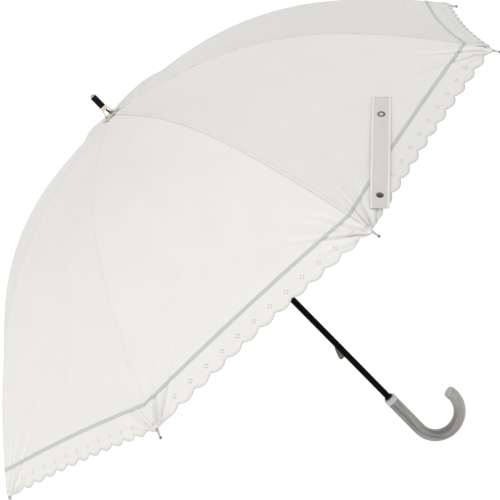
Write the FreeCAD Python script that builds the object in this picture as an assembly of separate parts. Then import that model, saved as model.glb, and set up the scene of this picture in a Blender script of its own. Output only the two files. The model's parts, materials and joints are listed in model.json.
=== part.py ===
import FreeCAD, Part
import math
import os

# A light eight-rib parasol with a J-hook handle, open, with +Z up the shaft.
# Millimetres and degrees. The origin is the middle of the grip, on the shaft's axis.
# The hook opens towards +X, and the two press catches are on the -X side of the shaft.

os.makedirs("parts", exist_ok=True)
V = FreeCAD.Vector

# ---- driving dimensions ----
# canopy seam, as tangent arcs from the hub to the hem
rib_count = 8
first_rib_azimuth = 195.6       # direction of rib_1, from +X towards +Y
seam_hub_radius = 8.0
seam_hub_slope = 4.1
hub_arc_length = 105.0
hub_arc_radius = 942.0
shoulder_arc_length = 215.0
shoulder_arc_radius = 420.0
outer_arc_length = 170.0
outer_arc_radius = 875.0
cloth_thickness = 0.8
cloth_seam_gap = 0.15

# steel ribs and their end pieces
rib_width = 3.4
rib_height = 3.0
rib_wall = 0.6
rib_cloth_gap = 0.9
hinge_along = 1.5               # where the rib hinges, along the seam
hinge_depth = 3.0               # and below it
eye_radius = 1.9
tongue_thickness = 1.2
tongue_height = 2.2
tongue_end = 14.0
channel_start = 11.0
rib_plug_length = 6.0           # solid end of the channel that holds the pin
rib_end_pin_radius = 0.8
rib_end_pin_length = 10.0
rib_end_pin_root = 2.0          # the pin's length inside the plug
rib_tip_radius = 1.6
rib_tip_ball_radius = 1.9
rib_tip_overhang = 7.5          # how far the tip stands out past the cloth
channel_end_inset = 12.0        # how far the channel stops short of the cloth's edge
closed_tip_radius = 13.0        # distance of a rib's end from the axis when folded
closed_tip_gap = 22.6           # from the folded tips down to the handle's collar

# stretchers and the pivots on the ribs
bracket_along = 195.0
bracket_depth = 8.0
bracket_foot_length = 12.0
bracket_plate_radius = 1.8
rivet_radius = 0.85
rivet_head_radius = 1.5
rivet_head_thickness = 0.55
stretcher_open_angle = 25.14    # how far an open stretcher rises from level, in degrees
stretcher_height = 2.8
stretcher_web_depth = 0.9       # from the pivot line down to the web
stretcher_tongue_length = 14.0
stretcher_tongue_width = 1.6
stretcher_lip_height = 0.5
stretcher_tongue_drop = 0.3     # how far the tongue hangs below the channel
stretcher_tongue_overlap = 2.0
stretcher_fork_length = 8.0
lip_thickness = 1.2

# shaft and runner
shaft_radius = 4.0
shaft_wall = 0.8
wire_radius = 0.6
fit_clearance = 0.05
seat_clearance = 0.2            # round a slot or at the blind end of a bore
through = 1.0                   # how far a cutting shape stands out of what it cuts
pivot_clearance = 0.15
runner_clearance = 0.3
runner_ring_radius = 9.5
runner_sleeve_wall = 2.5
runner_crown_radius = 11.5
runner_crown_half_height = 3.5
runner_top_lip = 6.0
runner_sleeve_length = 45.0
runner_foot_radius = 8.8
runner_foot_height = 4.0
crown_slot_width = 2.2
catch_slot_width = 2.4

# notch at the top of the shaft
notch_radius = 12.0
notch_top = -1.0
notch_height = 6.5
notch_neck_radius = 7.0
notch_neck_height = 5.5
notch_pin_radius = 0.8
notch_slot_width = 1.8
shaft_thread_depth = 7.0        # bore in the top of the shaft for the ferrule's stud
stop_pin_radius = 1.0
stop_pin_gap = 0.5              # between the open runner and its stop

# press catches
catch_thickness = 1.6
catch_tab = 1.5
catch_tab_depth = 0.6
catch_side_clearance = 0.1
catch_belly_share = 0.68        # how proud the ramp stands half-way along the leaf
catch_crest_share = 0.72        # where the ramp ends, from the middle to the end
catch_step_share = 0.97         # where the steep step starts to fall
catch_step_back = 0.2           # and how far it has come in by then
catch_back_gap = 1.0            # left inside the shaft behind a pressed catch
top_catch_spare = 0.2
catch_root = 0.3                # how far the leaf's outline starts inside the shaft's skin
catch_stroke_spare = 0.6        # what still stands out of the shaft when a catch is pressed
lower_catch_drop = 28.6         # its middle, below the ring of the closed runner
lower_catch_length = 19.0
lower_catch_proud = 6.0
top_catch_length = 14.0
top_catch_proud = 1.2
top_catch_gap = 0.8
window_clearance = 2.0          # above the lower catch, in the runner's window

# handle
handle_radius = 7.7
handle_top = 25.0
hook_centre_z = -25.0
hook_radius = 29.8
hook_sweep = 193.0
shaft_bottom = -18.0
collar_radius = 7.9
collar_length = 7.8
seal_radius = 5.4
seal_length = 2.0
end_cap_radius = 7.3
end_cap_thickness = 3.2
end_cap_round = 1.4
end_cap_spigot_radius = 3.0
end_cap_spigot_length = 6.0
collar_chamfer = 1.0

# peak
washer_radius = 7.2
washer_thickness = 1.6
rosette_radius = 12.8
rosette_thickness = 0.85
rosette_lift = 0.1              # over the canopy's outer skin
crown_cap_foot_radius = 8.2
crown_cap_wall = 0.7
crown_cap_step = 0.4            # how far its waist stands out from the ferrule
crown_cap_roof = 1.0
crown_cap_flare = 0.9           # how far the flare stands out a third of the way up
crown_cap_flare_share = 0.36
crown_cap_neck_share = 0.7      # height at which the flare ends and the plain tube starts
crown_cap_window = 5.4
crown_cap_first_window = 30.0   # direction of its first pair of windows
ferrule_bottom = 15.4
ferrule_length = 16.4
ferrule_radius = 3.9
ferrule_stud_radius = 1.6
ferrule_stud_depth = 4.0
ferrule_tip_radius = 2.6
ferrule_tip_length = 3.0
ferrule_tip_dome = 0.7          # height of its dome, as a share of its radius

# closing strap, lying on the third canopy panel
strap_panel = 3
strap_width = 22.0
strap_thickness = 1.0
strap_bend_tolerance = 0.1      # an edge that bows less than this is straight
strap_top_above_hem = 85.8      # sewn end
strap_top_across = 30.8         # and across from the panel's middle, rib_4 side
strap_end_above_hem = 9.9
strap_end_across = -129.6
snap_radius = 4.5
snap_thickness = 1.5
snap_insets = (28.1, 20.5)      # from the sewn end and from the free end

# ---- values worked out from them ----
rib_step = 360.0 / rib_count
half_step = math.radians(rib_step / 2)
seam_arcs = ((hub_arc_length, hub_arc_radius),
             (shoulder_arc_length, shoulder_arc_radius),
             (outer_arc_length, outer_arc_radius))
seam_breaks = (hub_arc_length, hub_arc_length + shoulder_arc_length)
seam_length = hub_arc_length + shoulder_arc_length + outer_arc_length
channel_end = seam_length - channel_end_inset
strap_top_along = seam_length - strap_top_above_hem
strap_end_along = seam_length - strap_end_above_hem
rib_top = cloth_thickness / 2 + rib_cloth_gap
rib_bottom = rib_top + rib_height
rib_middle = rib_top + rib_height / 2
web_underside = rib_top + rib_wall
shaft_bore = shaft_radius - shaft_wall
runner_bore = shaft_radius + runner_clearance
sleeve_radius = runner_bore + runner_sleeve_wall
ferrule_top = ferrule_bottom + ferrule_length
collar_top = handle_top + collar_length
washer_top = notch_top + washer_thickness


def azimuth(number):
    """Direction of rib `number`, in degrees."""
    return first_rib_azimuth + rib_step * (number - 1)


def seam_point(along):
    """Radius, height above the peak and slope of the seam, `along` its arc from the hub."""
    radius = seam_hub_radius
    height = 0.0
    slope = math.radians(seam_hub_slope)
    for length, bend in seam_arcs:
        part = min(along, length)
        turned = slope + part / bend
        radius += bend * (math.sin(turned) - math.sin(slope))
        height -= bend * (math.cos(slope) - math.cos(turned))
        slope = turned
        along -= part
        if along <= 0:
            break
    return radius, height, slope


def below_seam(along, depth):
    """Point of the XZ plane that lies `depth` under the seam, measured from the peak."""
    radius, height, slope = seam_point(along)
    return V(radius - depth * math.sin(slope), 0, height - depth * math.cos(slope))


def tangent(along):
    slope = seam_point(along)[2]
    return V(math.cos(slope), 0, -math.sin(slope))


def down(along):
    slope = seam_point(along)[2]
    return V(-math.sin(slope), 0, -math.cos(slope))


def swing(point, centre, angle):
    """Turn a point of the XZ plane about `centre`; a positive angle takes +X down."""
    turn = FreeCAD.Rotation(V(0, 1, 0), math.degrees(angle))
    return centre + turn.multVec(point - centre)


# ---- the folding linkage, in the plane of one rib, measured from the peak ----
rib_hinge = below_seam(hinge_along, hinge_depth)
rib_end = below_seam(seam_length, rib_middle)
bracket_pivot = below_seam(bracket_along, bracket_depth)
to_end = rib_end - rib_hinge
rib_fold = math.atan2(to_end.z, to_end.x) + math.acos((closed_tip_radius - rib_hinge.x) / to_end.Length)
folded_pivot = swing(bracket_pivot, rib_hinge, rib_fold)
stretcher_length = (bracket_pivot.x - runner_ring_radius) / math.cos(math.radians(stretcher_open_angle))
rib_tip_length = channel_end_inset + rib_tip_overhang
rib_tip_end = below_seam(channel_end, rib_middle) + tangent(channel_end) * rib_tip_length
# height of the canopy's peak above the middle of the grip
apex_z = collar_top + closed_tip_gap - swing(rib_tip_end, rib_hinge, rib_fold).z


def runner_height(pivot):
    """Height of the runner's ring when the stretcher's outer pivot is at `pivot`."""
    reach = pivot.x - runner_ring_radius
    return pivot.z - math.sqrt(stretcher_length ** 2 - reach ** 2)


runner_open = runner_height(bracket_pivot)
runner_closed = runner_height(folded_pivot)
runner_travel = runner_open - runner_closed
lower_catch_middle = runner_closed - lower_catch_drop
stretcher_rise_open = math.asin((bracket_pivot.z - runner_open) / stretcher_length)
stretcher_rise_closed = math.asin((folded_pivot.z - runner_closed) / stretcher_length)
# the stretcher's turn against its rib; it leans back while the rib swings down
stretcher_fold = -(stretcher_rise_closed - stretcher_rise_open + rib_fold)
lower_stroke = min(lower_catch_proud - catch_stroke_spare, 2 * shaft_bore - catch_back_gap)
top_stroke = top_catch_proud - top_catch_spare


# ---- small modelling helpers ----
def at_peak(shape):
    shape.translate(V(0, 0, apex_z))
    return shape


def around(shape, degrees):
    turned = shape.copy()
    turned.rotate(V(0, 0, 0), V(0, 0, 1), degrees)
    return turned


def slab(edges, half_width):
    """Close the edges of an XZ outline and give it a width each way along Y."""
    face = Part.Face(Part.Wire(Part.__sortEdges__(edges)))
    face.translate(V(0, -half_width, 0))
    return face.extrude(V(0, 2 * half_width, 0))


def arcs(start, end, depth):
    """Edges of the line that runs `depth` below the seam."""
    stops = [start] + [stop for stop in seam_breaks if start < stop < end] + [end]
    edges = []
    for a, b in zip(stops, stops[1:]):
        points = [below_seam(along, depth) for along in (a, (a + b) / 2, b)]
        edges.append(Part.Arc(*points).toShape())
    return edges


def strip_edges(start, end, top, bottom):
    sides = [Part.makeLine(below_seam(along, top), below_seam(along, bottom)) for along in (start, end)]
    return arcs(start, end, top) + arcs(start, end, bottom) + sides


def strip(start, end, top, bottom, half_width):
    """Curved bar between two depths below the seam."""
    return slab(strip_edges(start, end, top, bottom), half_width)


def outline(points, half_width):
    edges = [Part.makeLine(a, b) for a, b in zip(points, points[1:] + points[:1])]
    return slab(edges, half_width)


def cross_pin(radius, half_length, centre):
    return Part.makeCylinder(radius, 2 * half_length, centre - V(0, half_length, 0), V(0, 1, 0))


def rod(radius, length, start, direction=V(0, 0, 1)):
    return Part.makeCylinder(radius, length, start, direction)


def pipe(outer, inner, bottom, top):
    height = top - bottom
    tube = rod(outer, height, V(0, 0, bottom))
    return tube.cut(rod(inner, height + 2, V(0, 0, bottom - 1)))


def turned(points):
    """Solid of revolution about Z from (radius, z) points."""
    corners = [V(radius, 0, z) for radius, z in points]
    face = Part.Face(Part.makePolygon(corners + corners[:1]))
    return face.revolve(V(0, 0, 0), V(0, 0, 1), 360)


def box(x0, x1, y0, y1, z0, z1):
    return Part.makeBox(x1 - x0, y1 - y0, z1 - z0, V(x0, y0, z0))


# ---- one function for each kind of piece ----
def make_rib():
    """U-channel, open below, with an eye for the notch wire and a pin for the tip."""
    inside = rib_width / 2 - rib_wall
    channel = strip(channel_start, channel_end, rib_top, rib_bottom, rib_width / 2)
    hollow = strip(channel_start - through, channel_end + through, web_underside, rib_bottom + through,
                   inside)
    channel = channel.cut(hollow)
    tongue = strip(hinge_along, tongue_end, web_underside, web_underside + tongue_height,
                   tongue_thickness / 2)
    eye = cross_pin(eye_radius, tongue_thickness / 2, rib_hinge)
    plug = strip(channel_end - rib_plug_length, channel_end, web_underside, rib_bottom, inside)
    along = tangent(channel_end)
    pin_start = below_seam(channel_end, rib_middle) - along * rib_end_pin_root
    pin = rod(rib_end_pin_radius, rib_end_pin_root + rib_end_pin_length, pin_start, along)
    rib = channel.multiFuse([tongue, eye, plug, pin])
    rib = rib.cut(cross_pin(wire_radius + pivot_clearance, tongue_thickness, rib_hinge))
    return at_peak(rib.removeSplitter())


def make_rib_tip():
    """Metal end cap that the corner of the cloth is sewn to."""
    along = tangent(channel_end)
    end = below_seam(channel_end, rib_middle)
    length = rib_tip_length - rib_tip_ball_radius
    start = channel_end_inset / 2
    cap = rod(rib_tip_radius, length - start, end + along * start, along)
    cap = cap.fuse(Part.makeSphere(rib_tip_ball_radius, end + along * length))
    bore_start = start - through
    bore = rod(rib_end_pin_radius + fit_clearance, rib_end_pin_length - bore_start,
               end + along * bore_start, along)
    return at_peak(cap.cut(bore))


def make_rib_bracket():
    """Foot inside the rib, a hanging plate and the rivet that the stretcher turns on."""
    foot = strip(bracket_along - bracket_foot_length / 2, bracket_along + bracket_foot_length / 2,
                 web_underside, rib_bottom, rib_width / 2 - rib_wall)
    side = tangent(bracket_along) * bracket_plate_radius
    root = bracket_pivot - down(bracket_along) * (bracket_depth - rib_middle)
    plate = outline([bracket_pivot - side, root - side, root + side, bracket_pivot + side],
                    tongue_thickness / 2)
    boss = cross_pin(bracket_plate_radius, tongue_thickness / 2, bracket_pivot)
    head_start = rib_width / 2 + pivot_clearance
    rivet = cross_pin(rivet_radius, head_start + rivet_head_thickness, bracket_pivot)
    heads = cross_pin(rivet_head_radius, head_start + rivet_head_thickness, bracket_pivot)
    heads = heads.cut(cross_pin(rivet_head_radius + through, head_start, bracket_pivot))
    return at_peak(foot.multiFuse([plate, boss, rivet] + heads.Solids).removeSplitter())


def make_stretcher():
    """U-channel strut: a fork at the rivet and, below the runner's wire, an open hook."""
    half = rib_width / 2
    inside = half - rib_wall
    floor = -stretcher_web_depth
    bottom = floor - rib_wall
    length = stretcher_length
    bar = box(stretcher_tongue_length, length, -half, half, bottom, bottom + stretcher_height)
    bar = bar.fuse(cross_pin(-bottom, half, V(length, 0, 0)))
    far = length - bottom + through
    high = stretcher_height
    bar = bar.cut(box(stretcher_tongue_length - through, far, -inside, inside, floor, high))
    bar = bar.cut(box(length - stretcher_fork_length, far, -inside, inside, -high, high))
    bar = bar.cut(cross_pin(rivet_radius + pivot_clearance, half + through, V(length, 0, 0)))
    side = stretcher_tongue_width / 2
    lip = -2 * wire_radius
    tongue_bottom = bottom - stretcher_tongue_drop
    tongue = box(lip - lip_thickness, stretcher_tongue_length + stretcher_tongue_overlap,
                 -side, side, tongue_bottom, floor)
    hook = box(lip - lip_thickness, lip, -side, side, tongue_bottom, stretcher_lip_height)
    bar = bar.multiFuse([tongue, hook]).removeSplitter()
    bar.rotate(V(0, 0, 0), V(0, 1, 0), -math.degrees(stretcher_rise_open))
    bar.translate(V(runner_ring_radius, 0, runner_open))
    return at_peak(bar)


def across_panel(start, end, top, bottom):
    """Skin between two depths below the seam, flat across a panel and wider than it."""
    face = Part.Face(Part.Wire(Part.__sortEdges__(strip_edges(start, end, top, bottom))))
    narrow = FreeCAD.Matrix()
    narrow.scale(math.cos(half_step), 1, 1)
    face = face.transformGeometry(narrow)
    reach = seam_point(seam_length)[0]
    face.translate(V(0, -reach, 0))
    return face.extrude(V(0, 2 * reach, 0))


def make_canopy_panel():
    """One gore: flat across, with the seam's curve from the hub to the hem."""
    half = cloth_thickness / 2
    sheet = across_panel(0, seam_length, -half, half)
    reach = 2 * seam_point(seam_length)[0]
    corner = cloth_seam_gap / math.sin(half_step)
    spread = (reach - corner) * math.tan(half_step)
    corners = [V(corner, 0, -reach), V(reach, -spread, -reach), V(reach, spread, -reach)]
    wedge = Part.Face(Part.makePolygon(corners + corners[:1])).extrude(V(0, 0, 2 * reach))
    return at_peak(sheet.common(wedge))


def on_panel(along, across, lift):
    """Point `lift` outside the middle line of a panel, `across` from it."""
    radius, height = seam_point(along)[:2]
    return V(radius * math.cos(half_step), across, height) + panel_normal(along) * lift


def panel_normal(along):
    slope = seam_point(along)[2]
    normal = V(math.sin(slope), 0, math.cos(slope) * math.cos(half_step))
    return normal.normalize()


def make_strap():
    """Closing band with rounded ends, lying on its panel, in the panel's own frame."""
    outer = cloth_thickness / 2
    skin = across_panel(strap_top_along - 2 * strap_width, seam_length, -outer - strap_thickness, -outer)
    start = on_panel(strap_top_along, strap_top_across, 0)
    end = on_panel(strap_end_along, strap_end_across, 0)
    middle = (strap_top_along + strap_end_along) / 2
    normal = panel_normal(middle)
    run = end - start
    run = (run - normal * run.dot(normal)).normalize()
    side = normal.cross(run) * (strap_width / 2)
    tip = run * (strap_width / 2)
    corners = [start - side, end - tip - side, end - tip + side, start + side]
    lines = [Part.makeLine(corners[0], corners[1]),
             Part.Arc(corners[1], end, corners[2]).toShape(),
             Part.makeLine(corners[2], corners[3]),
             Part.makeLine(corners[3], corners[0])]
    flat = Part.Face(flatten(lines, start, normal))
    flat.translate(normal * -strap_width)
    return at_peak(skin.common(flat.extrude(normal * 2 * strap_width)))


def flatten(lines, origin, normal):
    """Put edges in the plane through `origin`, so that they bound a flat face."""
    flat_lines = []
    for line in lines:
        ends = [vertex.Point for vertex in line.Vertexes]
        points = [ends[0], line.valueAt((line.FirstParameter + line.LastParameter) / 2), ends[1]]
        points = [point - normal * (point - origin).dot(normal) for point in points]
        bent = (points[1] - (points[0] + points[2]) / 2).Length > strap_bend_tolerance
        flat_lines.append(Part.Arc(*points).toShape() if bent else Part.makeLine(points[0], points[2]))
    return Part.Wire(Part.__sortEdges__(flat_lines))


def make_strap_snaps():
    """Two press snaps on the strap, one near each end."""
    outer = cloth_thickness / 2 + strap_thickness
    length = math.hypot(strap_end_along - strap_top_along, strap_end_across - strap_top_across)
    snaps = []
    for share in (snap_insets[0] / length, 1 - snap_insets[1] / length):
        along = strap_top_along + (strap_end_along - strap_top_along) * share
        across = strap_top_across + (strap_end_across - strap_top_across) * share
        snaps.append(rod(snap_radius, snap_thickness, on_panel(along, across, outer), panel_normal(along)))
    return at_peak(Part.makeCompound(snaps))


def make_shaft():
    """Tube with windows for the two catches and a threaded plug in its top."""
    tube = pipe(shaft_radius, shaft_bore, shaft_bottom - apex_z, washer_top)
    plug_height = notch_height + notch_neck_height
    plug = rod(shaft_bore, plug_height, V(0, 0, washer_top - plug_height))
    thread = rod(ferrule_stud_radius + fit_clearance, shaft_thread_depth + through,
                 V(0, 0, washer_top - shaft_thread_depth))
    plug = plug.cut(thread)
    side = catch_thickness / 2 + catch_side_clearance
    for middle, length in (catch_place("lower"), catch_place("top")):
        half = length / 2 + seat_clearance
        tube = tube.cut(box(-shaft_radius - through, -through, -side, side, middle - half, middle + half))
    tube = tube.fuse(plug)
    tube = tube.cut(notch_pin_hole())
    tube = tube.cut(stop_pin_rod())
    return at_peak(tube)


def catch_place(name):
    """Middle, from the peak, and length of a catch."""
    if name == "lower":
        return lower_catch_middle, lower_catch_length
    top = runner_open - runner_sleeve_length - top_catch_gap
    return top - top_catch_length / 2, top_catch_length


def make_catch(name, proud, step_up):
    """Half-moon leaf: a ramp one way and a steep step the other, with two tabs in the tube."""
    middle, length = catch_place(name)
    half = length / 2
    side = catch_thickness / 2
    bore_side = math.sqrt(shaft_bore ** 2 - side ** 2)
    tab_outer = fit_clearance - bore_side
    tab_inner = tab_outer + catch_tab_depth
    way = 1 if step_up else -1
    crest = -shaft_radius - proud
    root = -shaft_radius + catch_root
    ramp_start = V(root, 0, middle - way * half)
    ramp_middle = V(-shaft_radius - proud * catch_belly_share, 0, middle)
    ramp_end = V(crest, 0, middle + way * half * catch_crest_share)
    step_top = V(crest + proud * catch_step_back, 0, middle + way * half * catch_step_share)
    step_foot = V(root, 0, middle + way * half)
    inner_far = V(tab_inner, 0, middle + way * half)
    inner_near = V(tab_inner, 0, middle - way * half)
    edges = [Part.Arc(ramp_start, ramp_middle, ramp_end).toShape(),
             Part.makeLine(ramp_end, step_top),
             Part.makeLine(step_top, step_foot),
             Part.makeLine(step_foot, inner_far),
             Part.makeLine(inner_far, inner_near),
             Part.makeLine(inner_near, ramp_start)]
    leaf = slab(edges, side)
    tabs = box(tab_outer, tab_inner, -side, side, middle - half - catch_tab, middle + half + catch_tab)
    return at_peak(leaf.fuse(tabs).removeSplitter())


def notch_pin_hole():
    """The notch pin's bore, between two ribs and below the wire."""
    middle = notch_top - notch_height - notch_neck_height / 2
    bore = rod(notch_pin_radius, 2 * notch_neck_radius, V(-notch_neck_radius, 0, middle), V(1, 0, 0))
    return around(bore, azimuth(1) - rib_step / 2 - 180)


def stop_pin_rod():
    """Short pin that stops the runner at the top of its travel."""
    height = runner_open + runner_top_lip + stop_pin_gap + stop_pin_radius
    return cross_pin(stop_pin_radius, sleeve_radius, V(0, 0, height))


def make_notch():
    """Slotted head on the shaft that holds the ribs' wire, with a pinned neck below."""
    bottom = notch_top - notch_height
    bore = shaft_radius + fit_clearance
    head = pipe(notch_radius, bore, bottom, notch_top)
    neck = pipe(notch_neck_radius, bore, bottom - notch_neck_height, bottom)
    body = head.fuse(neck)
    half = notch_slot_width / 2
    slot = box(rib_hinge.x - eye_radius - seat_clearance, notch_radius + through, -half, half,
               bottom - through, notch_top + through)
    for number in range(1, rib_count + 1):
        body = body.cut(around(slot, azimuth(number)))
    groove = pipe(notch_radius + through, rib_hinge.x - wire_radius,
                  rib_hinge.z - wire_radius - fit_clearance, rib_hinge.z + wire_radius + fit_clearance)
    body = body.cut(groove).cut(notch_pin_hole())
    return at_peak(body.removeSplitter())


def make_runner():
    """Sliding sleeve with a slotted crown, a keyway and a window open at its foot."""
    top = runner_top_lip
    foot = -runner_sleeve_length
    sleeve = pipe(sleeve_radius, runner_bore, foot, top)
    crown = pipe(runner_crown_radius, runner_bore, -runner_crown_half_height, runner_crown_half_height)
    flange = pipe(runner_foot_radius, runner_bore, foot, foot + runner_foot_height)
    body = sleeve.multiFuse([crown, flange])
    half = crown_slot_width / 2
    slot = box(sleeve_radius, runner_crown_radius + through, -half, half,
               -runner_crown_half_height - through, runner_crown_half_height + through)
    for number in range(1, rib_count + 1):
        body = body.cut(around(slot, azimuth(number)))
    body = body.cut(pipe(runner_crown_radius + through, runner_ring_radius - wire_radius,
                         -wire_radius - fit_clearance, wire_radius + fit_clearance))
    key = shaft_radius + top_catch_proud + runner_clearance
    side = catch_slot_width / 2
    body = body.cut(box(-key, 0, -side, side, foot - through, top + through))
    window_top = lower_catch_middle + lower_catch_length / 2 + window_clearance - runner_closed
    body = body.cut(box(-runner_crown_radius, 0, -side, side, foot - through, window_top))
    body.translate(V(0, 0, runner_open))
    return at_peak(body.removeSplitter())


def make_wire(radius, height):
    return at_peak(Part.makeTorus(radius, wire_radius, V(0, 0, height)))


def make_handle():
    """Straight grip and hook in one piece, bored for the shaft and the end cap."""
    grip = rod(handle_radius, handle_top - hook_centre_z, V(0, 0, hook_centre_z))
    ring = Part.Wire(Part.makeCircle(handle_radius, V(0, 0, hook_centre_z), V(0, 0, 1)))
    hook = Part.Face(ring).revolve(V(hook_radius, 0, hook_centre_z), V(0, -1, 0), hook_sweep)
    body = grip.fuse(hook)
    body = body.cut(rod(shaft_radius + fit_clearance, handle_top - shaft_bottom, V(0, 0, shaft_bottom)))
    end, outward = hook_end()
    depth = end_cap_spigot_length + seat_clearance
    spigot = rod(end_cap_spigot_radius + fit_clearance, depth, end - outward * depth, outward)
    return body.cut(spigot).removeSplitter()


def hook_end():
    """Middle of the hook's end face and the direction that it faces."""
    turn = math.radians(hook_sweep)
    end = V(hook_radius - hook_radius * math.cos(turn), 0, hook_centre_z - hook_radius * math.sin(turn))
    return end, V(math.sin(turn), 0, -math.cos(turn))


def make_end_cap():
    """Domed button that closes the end of the hook."""
    end, outward = hook_end()
    button = rod(end_cap_radius, end_cap_thickness, end, outward)
    outer = end + outward * end_cap_thickness
    rim = min(button.Edges, key=lambda edge: edge.CenterOfMass.distanceToPoint(outer))
    button = button.makeFillet(end_cap_round, [rim])
    start = end - outward * end_cap_spigot_length
    spigot_length = end_cap_spigot_length + end_cap_thickness / 2
    return button.fuse(rod(end_cap_spigot_radius, spigot_length, start, outward))


def make_collar():
    """Bright ferrule round the top of the grip, chamfered at its upper edge."""
    bore = shaft_radius + fit_clearance
    return turned([(bore, handle_top), (collar_radius, handle_top),
                   (collar_radius, collar_top - collar_chamfer),
                   (collar_radius - collar_chamfer, collar_top), (bore, collar_top)])


def make_washer():
    return at_peak(pipe(washer_radius, shaft_radius + fit_clearance, notch_top, washer_top))


def make_rosette():
    """Round of cloth over the peak, clamped by the crown cap."""
    slope = math.tan(math.radians(seam_hub_slope))
    rim = cloth_thickness / 2 - slope * (rosette_radius - seam_hub_radius) + rosette_lift
    inner = shaft_bore
    return at_peak(turned([(inner, washer_top), (washer_radius, washer_top), (rosette_radius, rim),
                           (rosette_radius, rim + rosette_thickness),
                           (inner, washer_top + rosette_thickness)]))


def make_crown_cap():
    """Flared clamp with four legs, between the rosette and the ferrule."""
    base = washer_top + rosette_thickness
    waist = ferrule_radius + crown_cap_step
    height = ferrule_bottom - base
    neck = base + height * crown_cap_neck_share
    foot = V(crown_cap_foot_radius, 0, base)
    flare = V(waist + crown_cap_flare, 0, base + height * crown_cap_flare_share)
    top = V(waist, 0, neck)
    wall = V(crown_cap_wall, 0, 0)
    roof = ferrule_bottom - crown_cap_roof
    stud = ferrule_stud_radius + fit_clearance
    line = [top, V(waist, 0, ferrule_bottom), V(stud, 0, ferrule_bottom), V(stud, 0, roof),
            V(waist, 0, roof) - wall, top - wall]
    edges = [Part.Arc(foot, flare, top).toShape(),
             Part.Arc(foot - wall, flare - wall, top - wall).toShape(),
             Part.makeLine(foot, foot - wall)]
    edges += [Part.makeLine(a, b) for a, b in zip(line, line[1:])]
    cap = Part.Face(Part.Wire(Part.__sortEdges__(edges))).revolve(V(0, 0, 0), V(0, 0, 1), 360)
    half = crown_cap_window / 2
    reach = crown_cap_foot_radius + through
    arch_height = neck - half
    for turn in (0, 90):
        window = box(-reach, reach, -half, half, base - through, arch_height)
        arch = rod(half, 2 * reach, V(-reach, 0, arch_height), V(1, 0, 0))
        cap = cap.cut(around(window.fuse(arch), crown_cap_first_window + turn))
    return at_peak(cap)


def make_ferrule():
    """Black end tube with the stud that screws into the shaft."""
    tube = rod(ferrule_radius, ferrule_length, V(0, 0, ferrule_bottom))
    stud_bottom = notch_top - ferrule_stud_depth
    stud = rod(ferrule_stud_radius, ferrule_bottom - stud_bottom, V(0, 0, stud_bottom))
    return at_peak(tube.fuse(stud).removeSplitter())


def make_ferrule_tip():
    """Small domed stud in the end of the ferrule."""
    flat = ferrule_tip_length - ferrule_tip_radius * ferrule_tip_dome
    peg = rod(ferrule_tip_radius, flat, V(0, 0, ferrule_top))
    rise = ferrule_tip_radius * ferrule_tip_dome
    ball_radius = (ferrule_tip_radius ** 2 + rise ** 2) / (2 * rise)
    dome = Part.makeSphere(ball_radius, V(0, 0, ferrule_top + ferrule_tip_length - ball_radius))
    dome_foot = ferrule_top + flat
    dome = dome.common(rod(ferrule_tip_radius, rise, V(0, 0, dome_foot)))
    return at_peak(peg.fuse(dome).removeSplitter())


# ---- the whole parasol ----
pieces = {
    "shaft": make_shaft(),
    "ferrule": make_ferrule(),
    "ferrule_tip": make_ferrule_tip(),
    "crown_cap": make_crown_cap(),
    "rosette": make_rosette(),
    "peak_washer": make_washer(),
    "notch": make_notch(),
    "notch_wire": make_wire(rib_hinge.x, rib_hinge.z),
    "notch_pin": at_peak(notch_pin_hole()),
    "stop_pin": at_peak(stop_pin_rod()),
    "runner": make_runner(),
    "runner_wire": make_wire(runner_ring_radius, runner_open),
    "top_catch": make_catch("top", top_catch_proud, True),
    "lower_catch": make_catch("lower", lower_catch_proud, False),
    "handle": make_handle(),
    "handle_collar": make_collar(),
    "handle_seal": pipe(seal_radius, shaft_radius, collar_top, collar_top + seal_length),
    "handle_end_cap": make_end_cap(),
}
strap_turn = azimuth(strap_panel) + rib_step / 2
pieces["strap"] = around(make_strap(), strap_turn)
pieces["strap_snaps"] = around(make_strap_snaps(), strap_turn)

rib = make_rib()
rib_tip = make_rib_tip()
rib_bracket = make_rib_bracket()
stretcher = make_stretcher()
canopy_panel = make_canopy_panel()
for number in range(1, rib_count + 1):
    pieces["rib_%d" % number] = around(rib, azimuth(number))
    pieces["rib_tip_%d" % number] = around(rib_tip, azimuth(number))
    pieces["rib_bracket_%d" % number] = around(rib_bracket, azimuth(number))
    pieces["stretcher_%d" % number] = around(stretcher, azimuth(number))
    pieces["canopy_panel_%d" % number] = around(canopy_panel, azimuth(number) + rib_step / 2)

for name, shape in pieces.items():
    shape.exportStep("parts/%s.step" % name)
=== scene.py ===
import json
import math
import bpy
from mathutils import Matrix, Vector


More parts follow.
